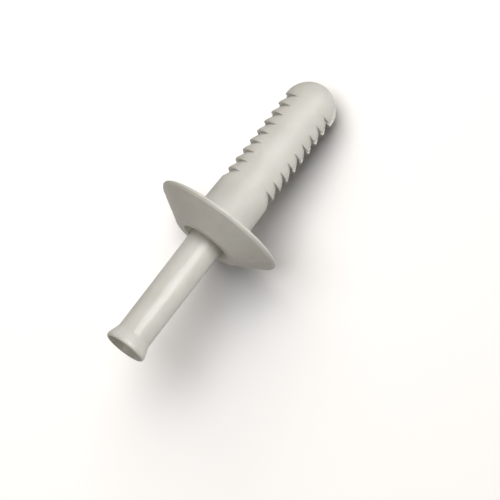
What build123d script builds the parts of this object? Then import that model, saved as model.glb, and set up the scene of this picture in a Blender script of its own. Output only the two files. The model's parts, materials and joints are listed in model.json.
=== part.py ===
"""Nylon drive rivet, lying as it comes to rest on its head's rim and its nose.

The body is one moulding: a low conical head and a barbed shank, split into two legs,
with a bore down the middle.  The drive pin stands out of the head, ready to be hammered
flush, and has a flared, hollow end.  All sizes are in millimetres.
"""

import os
from math import acos, atan2, cos, hypot, radians, sin, tan

from build123d import *

# Head, measured from the seat under it towards the drive pin
HEAD_RADIUS = 7.75
HEAD_HEIGHT = 2.73
RIM_THICKNESS = 0.55
RIM_BEVEL = 0.2
RIM_BEVEL_LENGTH = 0.25
RIM_CHAMFER = 0.12
CROWN_RING = 1.05
CROWN_ROUNDING = 0.3

# Shank, measured from the same seat towards the nose
SHANK_RADIUS = 3.2
UNDERHEAD_FILLET = 0.5
BARB_RADIUS = 3.1
BARB_LAND = 0.14
FIRST_NOTCH = 5.57
NOTCH_COUNT = 9
NOTCH_PITCH = 1.335
NOTCH_DEPTH = 0.55
SMOOTH_STRIP_ANGLE = 35.0
NOSE_LAND = 0.15

# Split that parts the shank into two legs.  It is turned from level about the X axis, in
# degrees, so it leaves the rivet's own axis a little towards the nose.  Each side of it has
# a draft, in degrees, and it flares to a wider mouth in the nose.
SPLIT_START = 8.2
SPLIT_WIDTH = 0.45
SPLIT_DRAFT = 1.4
SPLIT_MOUTH_WIDTH = 1.6
SPLIT_MOUTH_FLARE = 1.1
SPLIT_TURN = 18.0

# Drive pin: before it is driven, PIN_GRIP of it is inside the body, and once driven flush
# it ends PIN_SHORT_OF_NOSE before the nose
PIN_RADIUS = 2.05
PIN_GRIP = 3.83
PIN_SHORT_OF_NOSE = 0.2
FLARE_RADIUS = 2.5
FLARE_LENGTH = 1.75
FLARE_FILLET = 1.0
LIP_LAND = 0.5
LIP_WIDTH = 0.28
LIP_CHAMFER = 0.15
HOLLOW_RADIUS = 1.55
HOLLOW_DEPTH = 9.5
HOLLOW_END_LENGTH = 0.7
HOLLOW_END_RADIUS = 0.8
POINT_LENGTH = 0.8
POINT_RADIUS = 1.35

# Bore, a running fit on the pin, with a countersink that the pin's flare sinks into
BORE_CLEARANCE = 0.05
COUNTERSINK_CLEARANCE = 0.5
COUNTERSINK_LENGTH = 1.8
COUNTERSINK_ROUNDING = 0.8
BORE_RUNOUT = 0.4
BORE_TAPER_LENGTH = 1.6
BORE_TAPER_RADIUS = 0.7

# Places along the axis from the seat, and sizes that follow from others
CROWN = -HEAD_HEIGHT
COUNTERSINK_RADIUS = FLARE_RADIUS + COUNTERSINK_CLEARANCE
CROWN_RADIUS = COUNTERSINK_RADIUS + CROWN_RING
LAST_NOTCH = FIRST_NOTCH + (NOTCH_COUNT - 1) * NOTCH_PITCH
NOSE_START = LAST_NOTCH + NOSE_LAND
NOSE_END = NOSE_START + BARB_RADIUS
PIN_DRIVEN_TIP = NOSE_START - PIN_SHORT_OF_NOSE
PIN_LENGTH = PIN_DRIVEN_TIP - CROWN
PIN_TIP = CROWN + PIN_GRIP
PIN_END = PIN_TIP - PIN_LENGTH
BORE_TAPER_START = PIN_DRIVEN_TIP + BORE_RUNOUT
BORE_END = BORE_TAPER_START + BORE_TAPER_LENGTH


# The rivet lies on the rim's back edge and on its ball-shaped nose, with the nose towards
# +X and the pin raised.  Edge and nose are level when the axis has this tilt, in radians.
EDGE_TO_NOSE = NOSE_START + RIM_CHAMFER
TILT = acos(BARB_RADIUS / hypot(HEAD_RADIUS, EDGE_TO_NOSE)) - atan2(EDGE_TO_NOSE, HEAD_RADIUS)
SEAT_HEIGHT = HEAD_RADIUS * cos(TILT) - RIM_CHAMFER * sin(TILT)

# The origin is under the middle of the rivet's length
PIN_SIDE = PIN_END * cos(TILT) - (FLARE_RADIUS - LIP_CHAMFER) * sin(TILT)
NOSE_SIDE = NOSE_START * cos(TILT) + BARB_RADIUS
SEAT_CENTRE = Vector(-(PIN_SIDE + NOSE_SIDE) / 2, 0, SEAT_HEIGHT)
TOWARDS_NOSE = Vector(cos(TILT), 0, -sin(TILT))


def upright_plane(sideways=0.0):
    """Upright plane along the axis, or set over sideways: x towards the nose, y upwards."""
    return Plane(
        origin=SEAT_CENTRE + Vector(0, sideways, 0), x_dir=TOWARDS_NOSE, z_dir=(0, -1, 0)
    )


section = upright_plane()
rivet_axis = Axis(SEAT_CENTRE, TOWARDS_NOSE)

# The notches that leave the barbs are crescents.  Each side's are turned about an axis set
# over towards the other side, so they are deepest at the sides and run out at smooth strips
# along the top and the bottom of the shank.
notch_floor = BARB_RADIUS - NOTCH_DEPTH
strip_edge = BARB_RADIUS * sin(radians(SMOOTH_STRIP_ANGLE))
notch_set_over = (BARB_RADIUS**2 - notch_floor**2) / (2 * (notch_floor - strip_edge))
notch_slope_length = NOTCH_PITCH - BARB_LAND
notch_places = [FIRST_NOTCH + i * NOTCH_PITCH for i in range(NOTCH_COUNT)]
overcut = 1.3


with BuildPart() as rivet_body:
    # Head, plain shank and ball-shaped nose, turned about the axis
    with BuildSketch(section) as outline:
        with BuildLine():
            Polyline(
                (NOSE_END, 0),
                (CROWN, 0),
                (CROWN, CROWN_RADIUS),
                (-RIM_THICKNESS, HEAD_RADIUS - RIM_BEVEL),
                (RIM_BEVEL_LENGTH - RIM_THICKNESS, HEAD_RADIUS),
                (0, HEAD_RADIUS),
                (0, SHANK_RADIUS),
                (FIRST_NOTCH - notch_slope_length, SHANK_RADIUS),
                (FIRST_NOTCH, BARB_RADIUS),
                (NOSE_START, BARB_RADIUS),
            )
            CenterArc((NOSE_START, 0), BARB_RADIUS, 0, 90)
        make_face()
        rim_corner = outline.vertices().sort_by_distance((0, HEAD_RADIUS))[0]
        chamfer(rim_corner, length=RIM_CHAMFER)
        crown_corner = outline.vertices().sort_by_distance((CROWN, CROWN_RADIUS))[0]
        fillet(crown_corner, radius=CROWN_ROUNDING)
        underhead_corner = outline.vertices().sort_by_distance((0, SHANK_RADIUS))[0]
        fillet(underhead_corner, radius=UNDERHEAD_FILLET)
    revolve(axis=rivet_axis)

    # Barbs: saw-tooth notches, steep towards the head and sloping towards the nose
    for side in (1, -1):
        set_over = side * notch_set_over
        with BuildSketch(upright_plane(set_over)):
            with Locations([(place, notch_floor + notch_set_over) for place in notch_places]):
                Polygon(
                    (0, 0),
                    (0, NOTCH_DEPTH * overcut),
                    (-notch_slope_length * overcut, NOTCH_DEPTH * overcut),
                    align=None,
                )
        revolve(axis=Axis(SEAT_CENTRE + Vector(0, set_over, 0), TOWARDS_NOSE), mode=Mode.SUBTRACT)

    # Bore, with a countersink for the pin's flare and a taper that the legs close at the nose
    with BuildSketch(section) as bore:
        with BuildLine():
            Polyline(
                (CROWN, 0),
                (CROWN, COUNTERSINK_RADIUS),
                (CROWN + COUNTERSINK_LENGTH, PIN_RADIUS + BORE_CLEARANCE),
                (BORE_TAPER_START, PIN_RADIUS + BORE_CLEARANCE),
                (BORE_END, BORE_TAPER_RADIUS),
                (BORE_END, 0),
                close=True,
            )
        make_face()
        foot = (CROWN + COUNTERSINK_LENGTH, PIN_RADIUS)
        countersink_foot = bore.vertices().sort_by_distance(foot)[0]
        fillet(countersink_foot, radius=COUNTERSINK_ROUNDING)
    revolve(axis=rivet_axis, mode=Mode.SUBTRACT)

    # Split between the legs, with a round end so that they don't tear there
    drafted_width = SPLIT_WIDTH + 2 * (NOSE_START - SPLIT_START) * tan(radians(SPLIT_DRAFT))
    split_edge = [
        (SPLIT_START, SPLIT_WIDTH / 2),
        (NOSE_START, drafted_width / 2),
        (NOSE_START + SPLIT_MOUTH_FLARE, SPLIT_MOUTH_WIDTH / 2),
        (NOSE_END + BARB_RADIUS, SPLIT_MOUTH_WIDTH / 2),
    ]
    with BuildSketch(section.rotated((-SPLIT_TURN, 0, 0))):
        with Locations((SPLIT_START, 0)):
            Circle(SPLIT_WIDTH / 2)
        other_edge = [(along, -offset) for along, offset in reversed(split_edge)]
        Polygon(*split_edge, *other_edge, align=None)
    extrude(amount=SHANK_RADIUS * overcut, both=True, mode=Mode.SUBTRACT)

rivet_body.part.label = "rivet_body"


with BuildPart() as drive_pin:
    # Pin, with a flare that seats in the head's countersink and a blunt point
    with BuildSketch(section) as shaft:
        with BuildLine():
            Polyline(
                (PIN_END, 0),
                (PIN_END, FLARE_RADIUS),
                (PIN_END + LIP_LAND, FLARE_RADIUS),
                (PIN_END + FLARE_LENGTH, PIN_RADIUS),
                (PIN_TIP - POINT_LENGTH, PIN_RADIUS),
                (PIN_TIP, POINT_RADIUS),
                (PIN_TIP, 0),
                close=True,
            )
        make_face()
        flare_foot = shaft.vertices().sort_by_distance((PIN_END + FLARE_LENGTH, PIN_RADIUS))[0]
        fillet(flare_foot, radius=FLARE_FILLET)
        lip = shaft.vertices().sort_by_distance((PIN_END, FLARE_RADIUS))[0]
        chamfer(lip, length=LIP_CHAMFER)
    revolve(axis=rivet_axis)

    # Hollow in the flared end
    with BuildSketch(section):
        with BuildLine():
            Polyline(
                (PIN_END, 0),
                (PIN_END, FLARE_RADIUS - LIP_WIDTH),
                (PIN_END + FLARE_LENGTH, HOLLOW_RADIUS),
                (PIN_END + HOLLOW_DEPTH - HOLLOW_END_LENGTH, HOLLOW_RADIUS),
                (PIN_END + HOLLOW_DEPTH, HOLLOW_END_RADIUS),
                (PIN_END + HOLLOW_DEPTH, 0),
                close=True,
            )
        make_face()
    revolve(axis=rivet_axis, mode=Mode.SUBTRACT)

drive_pin.part.label = "drive_pin"


os.makedirs("parts", exist_ok=True)
export_step(rivet_body.part, "parts/rivet_body.step")
export_step(drive_pin.part, "parts/drive_pin.step")
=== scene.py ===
"""Looks of a natural nylon drive rivet that lies on a white table under soft studio light."""

import json
import math

import bmesh
import bpy
from mathutils import Matrix, Vector


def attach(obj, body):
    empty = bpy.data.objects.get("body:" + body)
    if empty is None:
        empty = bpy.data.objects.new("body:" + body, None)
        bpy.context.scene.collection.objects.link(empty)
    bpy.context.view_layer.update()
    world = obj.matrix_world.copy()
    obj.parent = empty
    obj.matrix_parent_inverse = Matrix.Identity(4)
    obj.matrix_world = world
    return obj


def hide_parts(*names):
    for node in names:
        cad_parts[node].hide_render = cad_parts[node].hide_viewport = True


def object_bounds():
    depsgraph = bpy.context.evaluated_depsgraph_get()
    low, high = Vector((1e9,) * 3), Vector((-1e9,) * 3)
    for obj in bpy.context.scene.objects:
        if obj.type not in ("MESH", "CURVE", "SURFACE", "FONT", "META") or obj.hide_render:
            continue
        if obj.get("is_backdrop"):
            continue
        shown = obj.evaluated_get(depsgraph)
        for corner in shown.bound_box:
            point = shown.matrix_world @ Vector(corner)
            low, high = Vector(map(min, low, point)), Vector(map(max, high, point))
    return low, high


MM = 0.001

# Camera: it looks almost straight down, with the rivet running up to the right
AXIS_TURN = math.radians(52.4)
CAMERA_LEAN = math.radians(4.0)
CAMERA_DISTANCE = 1.6
VIEW_WIDTH = 55.6 * MM
SENSOR = 36.0
HEAD_LEFT_OF_CENTRE = 3.46 * MM
HEAD_ABOVE_CENTRE = 2.72 * MM

# Table, room and lamps
TABLE_SIZE = 1.2
TABLE_ROUGHNESS = 0.8
TABLE_COLOUR = (0.90, 0.90, 0.90, 1)
TABLE_BOUNCE_COLOUR = (0.30, 0.295, 0.29, 1)
TABLE_GLOW_COLOUR = (1.0, 0.90, 0.83, 1)
TABLE_GLOW = 0.01
SKY_COLOUR = (1.0, 0.94, 0.88, 1)
SKY_STRENGTH = 0.10
PLAIN_LIGHT = (1.0, 1.0, 1.0)
WARM_LIGHT = (1.0, 0.93, 0.86)
LAMP_DISTANCE = 0.7
TABLE_LAMP_DISTANCE = 0.6

# Natural nylon.  A SCALE counts noise cells to a metre, and a pair of numbers is where a fade
# starts and where it ends.
NYLON_COLOUR = (0.655, 0.645, 0.602, 1)
CLOUD_COLOUR = (0.60, 0.598, 0.545, 1)
# Lighter colour of sharp edges: partly rubbing wear, partly a painted highlight along the edges.
WEAR_AND_HIGHLIGHT_COLOUR = (0.73, 0.72, 0.69, 1)
NYLON_IOR = 1.53
TRANSLUCENCE = 0.25
TRANSLUCENT_DEPTH = 0.5 * MM
TRANSLUCENT_REACH = (1.0, 0.85, 0.65)
CLOUD_SIZE = 3.5 * MM
CLOUD_FADE = (0.35, 0.7)
EDGE_POINTINESS = (0.505, 0.56)
WEAR_AND_HIGHLIGHT_PATCH_SCALE = 900
WEAR_AND_HIGHLIGHT_PATCH_FADE = (0.4, 0.65)
RUBBED_ROUGHNESS = 0.15
GRAIN_SCALE = 14000
STREAK_SCALE = 1100
STREAK_WIDTH_TO_LENGTH = 0.12
GLOSS_PATCH_SCALE = 500
PARTING_LINE_WIDTH = 0.12 * MM
PARTING_LINE_FADE = (0.2, 0.6)
PARTING_LINE_WANDER = 0.04 * MM
WANDER_SCALE = 260
EJECTOR_MARK_RADIUS = 0.75 * MM
EJECTOR_MARK_DEPTH = 0.03 * MM
EJECTOR_MARK_FADE = (1.05, 0.95)
EJECTOR_MARK_FROM_AXIS = 5.6 * MM

# Sizes of the two mouldings in millimetres, along the axis from the seat under the head
HEAD_RADIUS = 7.75
HEAD_HEIGHT = 2.73
RIM_THICKNESS = 0.55
RIM_BEVEL = 0.2
RIM_BEVEL_LENGTH = 0.25
CROWN_RADIUS = 4.05
COUNTERSINK_RADIUS = 3.0
COUNTERSINK_LENGTH = 1.8
SHANK_RADIUS = 3.2
BARB_RADIUS = 3.1
BARB_LAND = 0.14
FIRST_NOTCH = 5.57
NOTCH_COUNT = 9
NOTCH_PITCH = 1.335
NOTCH_DEPTH = 0.55
SMOOTH_STRIP_ANGLE = math.radians(35)
NOSE_START = 16.4
SPLIT_START = 8.2
SPLIT_WIDTH = 0.45
SPLIT_DRAFT = math.radians(1.4)
SPLIT_MOUTH_WIDTH = 1.6
SPLIT_MOUTH_FLARE = 1.1
SPLIT_TURN = math.radians(18)
BORE_RADIUS = 2.1
BORE_TAPER_START = 16.6
BORE_TAPER_LENGTH = 1.6
BORE_TAPER_RADIUS = 0.7
PIN_END = -17.83
PIN_TIP = 1.1
PIN_RADIUS = 2.05
FLARE_RADIUS = 2.5
FLARE_LENGTH = 1.75
FLARE_LAND = 0.5
LIP_WIDTH = 0.28
HOLLOW_RADIUS = 1.55
HOLLOW_DEPTH = 9.5
HOLLOW_END_LENGTH = 0.7
HOLLOW_END_RADIUS = 0.8
POINT_LENGTH = 0.8
POINT_RADIUS = 1.35

# Radii of the moulded edges in millimetres.  A crest's is at most CREST_SHARE_OF_WALL of its
# wall, and CRESCENT_SOFTNESS is how gently the crescents run out.
EDGE_ROUNDING = 0.08
BORE_TAPER_ROUNDING = 0.3
COUNTERSINK_ROUNDING = 0.8
CROWN_ROUNDING = 0.3
RIM_ROUNDING = 0.2
UNDERHEAD_FILLET = 0.5
CREST_ROUNDING = 0.07
CREST_SHARE_OF_WALL = 0.9
CRESCENT_SOFTNESS = 0.05
HOLLOW_END_ROUNDING = 0.2
FLARE_FILLET = 1.0
LIP_ROUNDING = 0.25
LIP_INSIDE_ROUNDING = 0.06
FLARE_LAND_ROUNDING = 0.3
POINT_SHOULDER_ROUNDING = 0.2
POINT_ROUNDING = 0.1

# Fineness of the meshes: SUPPORT is how far from a rounded edge the next row stands, and
# CREST_GAP is how far the first row of a crest stands from its wall, both in millimetres
SUPPORT = 0.06
CREST_GAP = 0.004
ARC_STEPS = 5
BODY_COLUMNS = 144
PIN_COLUMNS = 96
SLOPE_ROWS = 11
NOSE_ROWS = 22
SPLIT_END_STEPS = 12
SHARP_ANGLE = math.radians(40)

# The blade that cuts the split reaches this far from the axis on both sides, in millimetres
SPLIT_CUTTER_HALF_WIDTH = 4


def new_material(name):
    """A node material with only an output, and its node tree."""
    material = bpy.data.materials.new(name)
    material.use_nodes = True
    material.node_tree.nodes.clear()
    material.node_tree.nodes.new("ShaderNodeOutputMaterial")
    return material, material.node_tree


def set_inputs(node, inputs):
    """Sets a node's inputs, given by name with spaces written as underscores."""
    for name, value in inputs.items():
        node.inputs[name.replace("_", " ")].default_value = value


def add_node(tree, kind, **inputs):
    """Adds a node of that kind and sets its inputs."""
    node = tree.nodes.new(kind)
    set_inputs(node, inputs)
    return node


def new_group(name, inputs, outputs):
    """A shader node group with those sockets, given as {name: kind}."""
    group = bpy.data.node_groups.new(name, "ShaderNodeTree")
    for socket, kind in inputs.items():
        group.interface.new_socket(socket, in_out="INPUT", socket_type="NodeSocket" + kind)
    for socket, kind in outputs.items():
        group.interface.new_socket(socket, in_out="OUTPUT", socket_type="NodeSocket" + kind)
    start = group.nodes.new("NodeGroupInput")
    end = group.nodes.new("NodeGroupOutput")
    return group, start, end


def place_group(tree, group, **inputs):
    """Puts a node group into a material and sets its inputs."""
    node = tree.nodes.new("ShaderNodeGroup")
    node.node_tree = group
    set_inputs(node, inputs)
    return node


def math_node(tree, operation, first, second):
    """A Math node on two sockets or numbers; returns its result socket."""
    node = tree.nodes.new("ShaderNodeMath")
    node.operation = operation
    for i, value in enumerate((first, second)):
        if isinstance(value, (int, float)):
            node.inputs[i].default_value = value
        else:
            tree.links.new(value, node.inputs[i])
    return node.outputs[0]


def picture_axes(axis, back):
    """The picture's right and up directions, with the rivet's axis turned up from the right."""
    along = (axis - back * axis.dot(back)).normalized()
    across = back.cross(along)
    right = along * math.cos(AXIS_TURN) - across * math.sin(AXIS_TURN)
    up = along * math.sin(AXIS_TURN) + across * math.cos(AXIS_TURN)
    return right, up


def place_camera(axis, head_middle):
    """Sets the scene's camera and returns the picture's right, up and back directions."""
    back = Vector((math.sin(CAMERA_LEAN), 0, math.cos(CAMERA_LEAN)))
    right, up = picture_axes(axis, back)
    target = head_middle + right * HEAD_LEFT_OF_CENTRE - up * HEAD_ABOVE_CENTRE
    camera_data = bpy.data.cameras.new("camera")
    camera_data.sensor_width = SENSOR
    camera_data.lens = SENSOR * CAMERA_DISTANCE / VIEW_WIDTH
    camera_data.clip_start = CAMERA_DISTANCE / 100
    camera = bpy.data.objects.new("camera", camera_data)
    turn = Matrix((right, up, back)).transposed().to_4x4()
    camera.matrix_world = Matrix.Translation(target + back * CAMERA_DISTANCE) @ turn
    bpy.context.scene.collection.objects.link(camera)
    bpy.context.scene.camera = camera
    return right, up, back


def soft_lamp(name, direction, distance, size, brightness, receivers, colour):
    """A square lamp aimed at the origin, which lights only the receivers.

    White that faces a lamp of brightness 1 renders as white.
    """
    data = bpy.data.lights.new(name, "AREA")
    data.shape = "SQUARE"
    data.size = size
    data.energy = brightness * (math.pi * distance) ** 2
    data.color = colour
    lamp = bpy.data.objects.new(name, data)
    lamp.matrix_world = Matrix.Translation(direction.normalized() * distance) @ (
        direction.to_track_quat("Z", "Y").to_matrix().to_4x4()
    )
    bpy.context.scene.collection.objects.link(lamp)
    lit = bpy.data.collections.new("lit_by_" + name)
    for receiver in receivers:
        lit.objects.link(receiver)
    lamp.light_linking.receiver_collection = lit


def table_material():
    """White table that reads as a white background and still takes the rivet's shadow."""
    material, tree = new_material("white_table")
    output = tree.nodes["Material Output"]
    surface = add_node(tree, "ShaderNodeBsdfPrincipled", Roughness=TABLE_ROUGHNESS)
    surface.inputs["Specular IOR Level"].default_value = 0.0
    surface.inputs["Emission Color"].default_value = TABLE_GLOW_COLOUR
    rays = tree.nodes.new("ShaderNodeLightPath").outputs
    seen = math_node(tree, "MAXIMUM", rays["Is Camera Ray"], rays["Is Glossy Ray"])
    seen_through = math_node(tree, "MAXIMUM", seen, rays["Is Transmission Ray"])
    colour = tree.nodes.new("ShaderNodeMix")
    colour.data_type = "RGBA"
    colour.inputs["A"].default_value = TABLE_BOUNCE_COLOUR
    colour.inputs["B"].default_value = TABLE_COLOUR
    tree.links.new(seen_through, colour.inputs["Factor"])
    tree.links.new(colour.outputs["Result"], surface.inputs["Base Color"])
    glow = math_node(tree, "MULTIPLY", seen_through, TABLE_GLOW)
    tree.links.new(glow, surface.inputs["Emission Strength"])
    tree.links.new(surface.outputs[0], output.inputs["Surface"])
    return material


def build_table():
    """The plane that the rivet lies on."""
    low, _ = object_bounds()
    bpy.ops.mesh.primitive_plane_add(size=TABLE_SIZE, location=(0, 0, low[2]))
    table = bpy.context.object
    table.name = "table"
    table.data.materials.append(table_material())
    table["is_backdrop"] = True
    return table


def light_world():
    """A dim, even room."""
    world = bpy.data.worlds.new("studio")
    world.use_nodes = True
    background = world.node_tree.nodes["Background"]
    background.inputs["Color"].default_value = SKY_COLOUR
    background.inputs["Strength"].default_value = SKY_STRENGTH
    bpy.context.scene.world = world


def fade(tree, value, start, end):
    """0 where the value is at start, rising smoothly to 1 at end; start may be the larger."""
    node = tree.nodes.new("ShaderNodeMapRange")
    node.interpolation_type = "SMOOTHSTEP"
    tree.links.new(value, node.inputs["Value"])
    node.inputs["From Min"].default_value = start
    node.inputs["From Max"].default_value = end
    return node.outputs["Result"]


def blend_colours(tree, share, first, second):
    """Mixes two colour sockets by a share; returns the result socket."""
    node = tree.nodes.new("ShaderNodeMix")
    node.data_type = "RGBA"
    for socket, value in (("Factor", share), ("A", first), ("B", second)):
        tree.links.new(value, node.inputs[socket])
    return node.outputs["Result"]


def noise(tree, place, scale, detail, roughness=0.5):
    """Noise of that scale at the place socket; scale may be a socket."""
    node = add_node(tree, "ShaderNodeTexNoise", Detail=detail, Roughness=roughness)
    tree.links.new(place, node.inputs["Vector"])
    if isinstance(scale, (int, float)):
        node.inputs["Scale"].default_value = scale
    else:
        tree.links.new(scale, node.inputs["Scale"])
    return node.outputs["Fac"]


def cloudy_nylon_group():
    """Natural nylon isn't one even colour: clouds, and sharp edges lighter from wear and a
    painted highlight.
    """
    group, start, end = new_group(
        "cloudy_nylon",
        {"Colour": "Color", "Cloud Colour": "Color", "Rubbed Colour": "Color",
         "Cloud Size": "Float", "Rubbing": "Float"},
        {"Colour": "Color", "Wear And Highlight": "Float"},
    )
    place = group.nodes.new("ShaderNodeTexCoord").outputs["Object"]
    scale = math_node(group, "DIVIDE", 1.0, start.outputs["Cloud Size"])
    clouds = fade(group, noise(group, place, scale, detail=4.0, roughness=0.55), *CLOUD_FADE)
    clouded = blend_colours(
        group, clouds, start.outputs["Colour"], start.outputs["Cloud Colour"]
    )
    # Sharp edges are painted lighter in patches: partly rubbing wear, partly a painted highlight
    # on the edges.
    pointiness = group.nodes.new("ShaderNodeNewGeometry").outputs["Pointiness"]
    edge = fade(group, pointiness, *EDGE_POINTINESS)
    patches = noise(group, place, WEAR_AND_HIGHLIGHT_PATCH_SCALE, detail=3.0)
    patchy = fade(group, patches, *WEAR_AND_HIGHLIGHT_PATCH_FADE)
    worn_and_highlit_edge = math_node(group, "MULTIPLY", edge, patchy)
    wear_and_highlight = math_node(group, "MULTIPLY", worn_and_highlit_edge, start.outputs["Rubbing"])
    colour = blend_colours(group, wear_and_highlight, clouded, start.outputs["Rubbed Colour"])
    group.links.new(colour, end.inputs["Colour"])
    group.links.new(wear_and_highlight, end.inputs["Wear And Highlight"])
    return group


def moulded_surface_group():
    """The surface that the mould leaves: spark grain and flow marks along the axis."""
    group, start, end = new_group(
        "moulded_surface",
        {"Grain": "Float", "Flow": "Float", "Gloss Patches": "Float"},
        {"Height": "Float", "Roughness Change": "Float"},
    )
    place = group.nodes.new("ShaderNodeTexCoord").outputs["Object"]
    turned = add_node(group, "ShaderNodeVectorRotate", Angle=-tilt)
    turned.rotation_type = "Y_AXIS"
    group.links.new(place, turned.inputs["Vector"])
    stretched = group.nodes.new("ShaderNodeVectorMath")
    stretched.operation = "MULTIPLY"
    stretched.inputs[1].default_value = (STREAK_WIDTH_TO_LENGTH, 1, 1)
    group.links.new(turned.outputs[0], stretched.inputs[0])
    specks = noise(group, place, GRAIN_SCALE, detail=2.0)
    grain = math_node(group, "MULTIPLY", specks, start.outputs["Grain"])
    streaks = noise(group, stretched.outputs[0], STREAK_SCALE, detail=2.0)
    flow = math_node(group, "MULTIPLY", streaks, start.outputs["Flow"])
    height = math_node(group, "ADD", grain, flow)
    group.links.new(height, end.inputs["Height"])
    patches = noise(group, place, GLOSS_PATCH_SCALE, detail=3.0)
    about_zero = math_node(group, "SUBTRACT", patches, 0.5)
    change = math_node(group, "MULTIPLY", about_zero, start.outputs["Gloss Patches"])
    group.links.new(change, end.inputs["Roughness Change"])
    return group


def parting_line_group():
    """The thin raised line that the mould's halves leave along the top and the bottom."""
    group, start, end = new_group(
        "parting_line", {"Width": "Float", "Height": "Float"}, {"Height": "Float"}
    )
    place = group.nodes.new("ShaderNodeTexCoord").outputs["Object"]
    parts = group.nodes.new("ShaderNodeSeparateXYZ")
    group.links.new(place, parts.inputs[0])
    waves = noise(group, place, WANDER_SCALE, detail=1.0)
    wander = math_node(group, "SUBTRACT", waves, 0.5)
    shift = math_node(group, "MULTIPLY", wander, PARTING_LINE_WANDER)
    shifted_place = math_node(group, "ADD", parts.outputs["Y"], shift)
    from_line = math_node(group, "ABSOLUTE", shifted_place, 0)
    share = math_node(group, "DIVIDE", from_line, start.outputs["Width"])
    line = math_node(group, "SUBTRACT", 1.0, fade(group, share, *PARTING_LINE_FADE))
    height = math_node(group, "MULTIPLY", line, start.outputs["Height"])
    group.links.new(height, end.inputs["Height"])
    return group


def ejector_marks_mask(tree, place, centres):
    """1 inside the round marks that the mould's ejectors leave under the head."""
    total = None
    fade_start, fade_end = [share * EJECTOR_MARK_RADIUS for share in EJECTOR_MARK_FADE]
    for centre in centres:
        apart = tree.nodes.new("ShaderNodeVectorMath")
        apart.operation = "DISTANCE"
        tree.links.new(place, apart.inputs[0])
        apart.inputs[1].default_value = centre
        mark = fade(tree, apart.outputs["Value"], fade_start, fade_end)
        total = mark if total is None else math_node(tree, "ADD", total, mark)
    return total


def nylon_material(name, look):
    """Moulded natural nylon with its own colours, gloss and depth of surface marks."""
    material, tree = new_material(name)
    surface = add_node(
        tree, "ShaderNodeBsdfPrincipled", Subsurface_Weight=TRANSLUCENCE,
        Subsurface_Radius=TRANSLUCENT_REACH, Subsurface_Scale=TRANSLUCENT_DEPTH, IOR=NYLON_IOR,
    )
    clouds = place_group(
        tree, look["clouds"], Colour=NYLON_COLOUR, Cloud_Colour=CLOUD_COLOUR,
        Rubbed_Colour=WEAR_AND_HIGHLIGHT_COLOUR, Cloud_Size=CLOUD_SIZE, Rubbing=look["edge_wear_and_highlight"],
    )
    marks = place_group(
        tree, look["marks"], Grain=look["grain"], Flow=look["flow"],
        Gloss_Patches=look["gloss_patches"],
    )
    line = place_group(
        tree, look["line"], Width=PARTING_LINE_WIDTH, Height=look["line_height"]
    )
    # Base colour: clouds, and sharp edges painted lighter, partly as wear and partly as a painted
    # highlight.
    tree.links.new(clouds.outputs["Colour"], surface.inputs["Base Color"])
    roughness = math_node(tree, "ADD", marks.outputs["Roughness Change"], look["roughness"])
    wear_and_highlight = math_node(tree, "MULTIPLY", clouds.outputs["Wear And Highlight"], RUBBED_ROUGHNESS)
    tree.links.new(math_node(tree, "ADD", roughness, wear_and_highlight), surface.inputs["Roughness"])
    height = math_node(tree, "ADD", marks.outputs["Height"], line.outputs["Height"])
    if look["ejector_marks"]:
        place = tree.nodes.new("ShaderNodeTexCoord").outputs["Object"]
        mask = ejector_marks_mask(tree, place, look["ejector_marks"])
        sunk = math_node(tree, "MULTIPLY", mask, EJECTOR_MARK_DEPTH)
        height = math_node(tree, "SUBTRACT", height, sunk)
    bump = add_node(tree, "ShaderNodeBump", Strength=1.0, Distance=1.0)
    tree.links.new(height, bump.inputs["Height"])
    tree.links.new(bump.outputs[0], surface.inputs["Normal"])
    tree.links.new(surface.outputs[0], tree.nodes["Material Output"].inputs["Surface"])
    return material


def rounded_profile(corners):
    """Turns corners (along, radius, rounding) into an outline with arcs and rows beside them."""
    outline = []
    last = len(corners) - 1
    for i, (along, radius, rounding) in enumerate(corners):
        here = Vector((along, radius))
        if i in (0, last) or rounding == 0:
            outline.append(here)
            continue
        before = Vector(corners[i - 1][:2]) - here
        after = Vector(corners[i + 1][:2]) - here
        half_angle = before.angle(after) / 2
        reach = rounding / math.tan(half_angle)
        start = here + before.normalized() * reach
        end = here + after.normalized() * reach
        centre = here + (before.normalized() + after.normalized()).normalized() * (
            rounding / math.sin(half_angle)
        )
        support = min(SUPPORT, reach)
        if before.length > reach + support:
            outline.append(here + before.normalized() * (reach + support))
        from_centre = start - centre
        sweep = math.pi - 2 * half_angle
        side = 1 if (start - centre).cross(end - centre) > 0 else -1
        for step in range(ARC_STEPS + 1):
            turn = side * sweep * step / ARC_STEPS
            outline.append(centre + Matrix.Rotation(turn, 2) @ from_centre)
        if after.length > reach + support:
            outline.append(here + after.normalized() * (reach + support))
    return [(point.x, point.y) for point in outline]


def rivet_point(along, radius, angle):
    """A point of the rivet: angle 0 is up, and a positive angle turns towards +Y."""
    return (
        seat_centre
        + axis * (along * MM)
        + (upwards * math.cos(angle) + sideways * math.sin(angle)) * (radius * MM)
    )


def new_piece(name, mesh):
    """Turns a closed bmesh into an object in the scene."""
    bmesh.ops.recalc_face_normals(mesh, faces=mesh.faces)
    data = bpy.data.meshes.new(name)
    mesh.to_mesh(data)
    mesh.free()
    piece = bpy.data.objects.new(name, data)
    bpy.context.scene.collection.objects.link(piece)
    return piece


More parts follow.
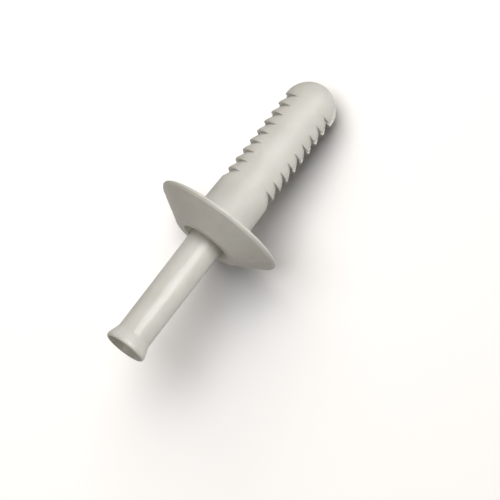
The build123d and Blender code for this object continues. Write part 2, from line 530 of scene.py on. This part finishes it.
def skin(name, rows, columns):
    """A closed, turned piece from rows (along, radius); a radius may depend on the angle."""
    mesh = bmesh.new()
    angles = [2 * math.pi * column / columns for column in range(columns)]
    rings = []
    for along, radius in rows:
        if radius == 0:
            rings.append([mesh.verts.new(rivet_point(along, 0, 0))] * columns)
            continue
        radius_at = radius if callable(radius) else lambda angle, fixed=radius: fixed
        rings.append([mesh.verts.new(rivet_point(along, radius_at(a), a)) for a in angles])
    for ring, following in zip(rings, rings[1:]):
        for column in range(columns):
            beside = (column + 1) % columns
            corners = [ring[column], ring[beside], following[beside], following[column]]
            mesh.faces.new(list(dict.fromkeys(corners)))
    piece = new_piece(name, mesh)
    piece.data.shade_smooth()
    return piece


def plain_radius(along):
    """Radius of the shank where it has no notch."""
    taper_start = FIRST_NOTCH - NOTCH_PITCH + BARB_LAND
    share = min(max((along - taper_start) / (FIRST_NOTCH - taper_start), 0), 1)
    return SHANK_RADIUS + (BARB_RADIUS - SHANK_RADIUS) * share


def soft_minimum(a, b, softness):
    """The smaller of two radii, with the corner between them softened."""
    blend = min(max(0.5 + (b - a) / (2 * softness), 0), 1)
    return b + (a - b) * blend - softness * blend * (1 - blend)


def notch_radius(before_wall, angle):
    """Radius of a notch's slope that far before its steep wall: crescents on both sides."""
    floor = BARB_RADIUS - NOTCH_DEPTH
    strip_edge = BARB_RADIUS * math.sin(SMOOTH_STRIP_ANGLE)
    set_over = (BARB_RADIUS**2 - floor**2) / (2 * (floor - strip_edge))
    slope = NOTCH_DEPTH / (NOTCH_PITCH - BARB_LAND)
    turned_radius = floor + set_over + before_wall * slope
    reach = math.sqrt(turned_radius**2 - (set_over * math.cos(angle)) ** 2)
    return reach - set_over * abs(math.sin(angle))


def slope_row(wall, along):
    """A row of the shank on the slope before that wall."""
    def radius(angle):
        cut = notch_radius(wall - along, angle)
        return soft_minimum(plain_radius(along), cut, CRESCENT_SOFTNESS)
    return along, radius


def crest_row(wall, step):
    """A row of the rounded crest just after that wall."""
    turn = math.pi / 2 * step / ARC_STEPS
    along = wall + CREST_ROUNDING * (1 - math.cos(turn))

    def radius(angle):
        full = plain_radius(along)
        floor = slope_row(wall, wall)[1](angle)
        rounding = min(CREST_ROUNDING, CREST_SHARE_OF_WALL * (full - floor))
        return full - rounding * (1 - math.sin(turn))
    return along + CREST_GAP, radius


def barb_rows():
    """Rows of the barbed length, from the first slope to the last crest."""
    rows = []
    slope_start = FIRST_NOTCH - NOTCH_PITCH + BARB_LAND
    for notch in range(NOTCH_COUNT):
        wall = FIRST_NOTCH + notch * NOTCH_PITCH
        start = slope_start + notch * NOTCH_PITCH
        for step in range(SLOPE_ROWS + 1):
            rows.append(slope_row(wall, start + (wall - start) * step / SLOPE_ROWS))
        rows += [crest_row(wall, step) for step in range(ARC_STEPS + 1)]
    return rows


def body_rows():
    """Rows of the whole body: from the bore's end, out over the head, and on to the nose."""
    crown = -HEAD_HEIGHT
    bore_end = BORE_TAPER_START + BORE_TAPER_LENGTH
    head = rounded_profile([
        (bore_end, BORE_TAPER_RADIUS, 0),
        (BORE_TAPER_START, BORE_RADIUS, BORE_TAPER_ROUNDING),
        (crown + COUNTERSINK_LENGTH, BORE_RADIUS, COUNTERSINK_ROUNDING),
        (crown, COUNTERSINK_RADIUS, EDGE_ROUNDING),
        (crown, CROWN_RADIUS, CROWN_ROUNDING),
        (-RIM_THICKNESS, HEAD_RADIUS - RIM_BEVEL, EDGE_ROUNDING),
        (RIM_BEVEL_LENGTH - RIM_THICKNESS, HEAD_RADIUS, EDGE_ROUNDING),
        (0, HEAD_RADIUS, RIM_ROUNDING),
        (0, SHANK_RADIUS, UNDERHEAD_FILLET),
        (FIRST_NOTCH - NOTCH_PITCH + BARB_LAND, SHANK_RADIUS, 0),
    ])
    nose = []
    for row in range(1, NOSE_ROWS):
        turn = math.pi / 2 * row / NOSE_ROWS
        nose.append((NOSE_START + BARB_RADIUS * math.sin(turn), BARB_RADIUS * math.cos(turn)))
    tip = (NOSE_START + BARB_RADIUS, 0)
    return [(bore_end, 0)] + head[:-1] + barb_rows() + nose + [tip]


def split_cutter():
    """The flat, round-ended blade that parts the two legs."""
    half = SPLIT_WIDTH / 2
    drafted_half = half + (NOSE_START - SPLIT_START) * math.tan(SPLIT_DRAFT)
    mouth_half = SPLIT_MOUTH_WIDTH / 2
    mouth = NOSE_START + SPLIT_MOUTH_FLARE
    end = NOSE_START + 2 * BARB_RADIUS
    thin = upwards * math.cos(SPLIT_TURN) + sideways * math.sin(SPLIT_TURN)
    wide = upwards * math.sin(SPLIT_TURN) - sideways * math.cos(SPLIT_TURN)
    edge = [(NOSE_START, drafted_half), (mouth, mouth_half), (end, mouth_half)]
    outline = edge + [(along, -offset) for along, offset in reversed(edge)]
    for step in range(SPLIT_END_STEPS + 1):
        turn = math.pi * step / SPLIT_END_STEPS
        outline.append((SPLIT_START - half * math.sin(turn), -half * math.cos(turn)))
    mesh = bmesh.new()
    rings = []
    for side in (-1, 1):
        to_side = wide * (side * SPLIT_CUTTER_HALF_WIDTH * MM)
        ring = [
            mesh.verts.new(seat_centre + axis * (along * MM) + thin * (offset * MM) + to_side)
            for along, offset in outline
        ]
        rings.append(ring)
        mesh.faces.new(ring)
    for i in range(len(outline)):
        j = (i + 1) % len(outline)
        mesh.faces.new([rings[0][i], rings[0][j], rings[1][j], rings[1][i]])
    return new_piece("split_cutter", mesh)


def cut(piece, cutter):
    """Cuts the cutter's shape out of the piece and removes the cutter."""
    boolean = piece.modifiers.new("cut", "BOOLEAN")
    boolean.operation = "DIFFERENCE"
    boolean.solver = "EXACT"
    boolean.object = cutter
    bpy.context.view_layer.update()
    evaluated = piece.evaluated_get(bpy.context.evaluated_depsgraph_get())
    result = bpy.data.meshes.new_from_object(evaluated)
    piece.modifiers.clear()
    piece.data = result
    bpy.data.objects.remove(cutter)
    result.shade_smooth()
    result.set_sharp_from_angle(angle=SHARP_ANGLE)


def build_body():
    """The one-piece body: head, barbed shank and two legs."""
    body = skin("moulded_body", body_rows(), BODY_COLUMNS)
    cut(body, split_cutter())
    return body


def build_pin():
    """The hollow drive pin with its flared end."""
    hollow_end = PIN_END + HOLLOW_DEPTH
    rows = rounded_profile([
        (hollow_end, HOLLOW_END_RADIUS, 0),
        (hollow_end - HOLLOW_END_LENGTH, HOLLOW_RADIUS, HOLLOW_END_ROUNDING),
        (PIN_END + FLARE_LENGTH, HOLLOW_RADIUS, FLARE_FILLET),
        (PIN_END, FLARE_RADIUS - LIP_WIDTH, LIP_INSIDE_ROUNDING),
        (PIN_END, FLARE_RADIUS, LIP_ROUNDING),
        (PIN_END + FLARE_LAND, FLARE_RADIUS, FLARE_LAND_ROUNDING),
        (PIN_END + FLARE_LENGTH, PIN_RADIUS, FLARE_FILLET),
        (PIN_TIP - POINT_LENGTH, PIN_RADIUS, POINT_SHOULDER_ROUNDING),
        (PIN_TIP, POINT_RADIUS, POINT_ROUNDING),
        (PIN_TIP, 0, 0),
    ])
    return skin("moulded_pin", [(hollow_end, 0)] + rows, PIN_COLUMNS)


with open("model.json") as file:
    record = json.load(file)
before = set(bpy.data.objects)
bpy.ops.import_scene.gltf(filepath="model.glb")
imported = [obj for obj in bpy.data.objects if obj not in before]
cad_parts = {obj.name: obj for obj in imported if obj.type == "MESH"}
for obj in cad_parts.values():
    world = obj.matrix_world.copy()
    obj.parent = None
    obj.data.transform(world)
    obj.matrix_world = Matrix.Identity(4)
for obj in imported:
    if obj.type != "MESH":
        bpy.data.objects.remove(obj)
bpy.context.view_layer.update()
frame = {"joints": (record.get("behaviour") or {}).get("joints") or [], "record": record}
mounts = {mount["name"]: mount for mount in frame["record"]["mounts"]}
axis = Vector(frame["joints"][0]["axis"]).normalized()
sideways = Vector((0, 1, 0))
upwards = axis.cross(sideways)
tilt = math.atan2(-axis.z, axis.x)
neck_middle = Vector(mounts["shank"]["pos_m"])
seat_spot = Vector(mounts["seat"]["pos_m"])
seat_centre = neck_middle - axis * axis.dot(neck_middle - seat_spot)

bpy.context.scene.view_settings.view_transform = "Standard"
head_middle = seat_centre - axis * (RIM_THICKNESS / 2 * MM)
picture_right, picture_up, picture_back = place_camera(axis, head_middle)
table = build_table()
light_world()
nylon_groups = {
    "clouds": cloudy_nylon_group(),
    "marks": moulded_surface_group(),
    "line": parting_line_group(),
}
ejector_marks = [seat_centre + sideways * (side * EJECTOR_MARK_FROM_AXIS) for side in (-1, 1)]
body_nylon = nylon_material("body_nylon", nylon_groups | {
    "roughness": 0.55, "grain": 0.004 * MM, "flow": 0.012 * MM, "gloss_patches": 0.16,
    "edge_wear_and_highlight": 0.7, "line_height": 0.006 * MM, "ejector_marks": ejector_marks,
})
pin_nylon = nylon_material("pin_nylon", nylon_groups | {
    "roughness": 0.36, "grain": 0.002 * MM, "flow": 0.07 * MM, "gloss_patches": 0.2,
    "edge_wear_and_highlight": 0.5, "line_height": 0.004 * MM, "ejector_marks": [],
})
body = build_body()
body.data.materials.append(body_nylon)
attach(body, "body")
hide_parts("rivet_body")
pin = build_pin()
pin.data.materials.append(pin_nylon)
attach(pin, "pin")
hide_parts("drive_pin")

mouldings = [body, pin]
for name, direction, size, brightness, colour in (
    ("top_lamp", (0.57, -0.08, 0.82), 0.45, 0.96, PLAIN_LIGHT),
    ("left_lamp", (0, 0.9, 0.4), 0.4, 0.07, WARM_LIGHT),
    ("right_lamp", (0, -0.9, 0.4), 0.4, 0.03, WARM_LIGHT),
    ("pin_end_lamp", (-0.4, 0.1, 0.9), 0.4, 0.24, WARM_LIGHT),
):
    soft_lamp(name, Vector(direction), LAMP_DISTANCE, size, brightness, mouldings, colour)

# The table's lamps are up and to the left in the picture: the shadow falls down to the right
over_the_table = picture_back - picture_right * 0.31 + picture_up * 0.25
soft_lamp("table_lamp", over_the_table, TABLE_LAMP_DISTANCE, 0.4, 0.73, [table], PLAIN_LIGHT)
beyond_the_table = picture_back - picture_right * 0.3 + picture_up
soft_lamp("far_table_lamp", beyond_the_table, TABLE_LAMP_DISTANCE, 0.5, 0.92, [table], WARM_LIGHT)
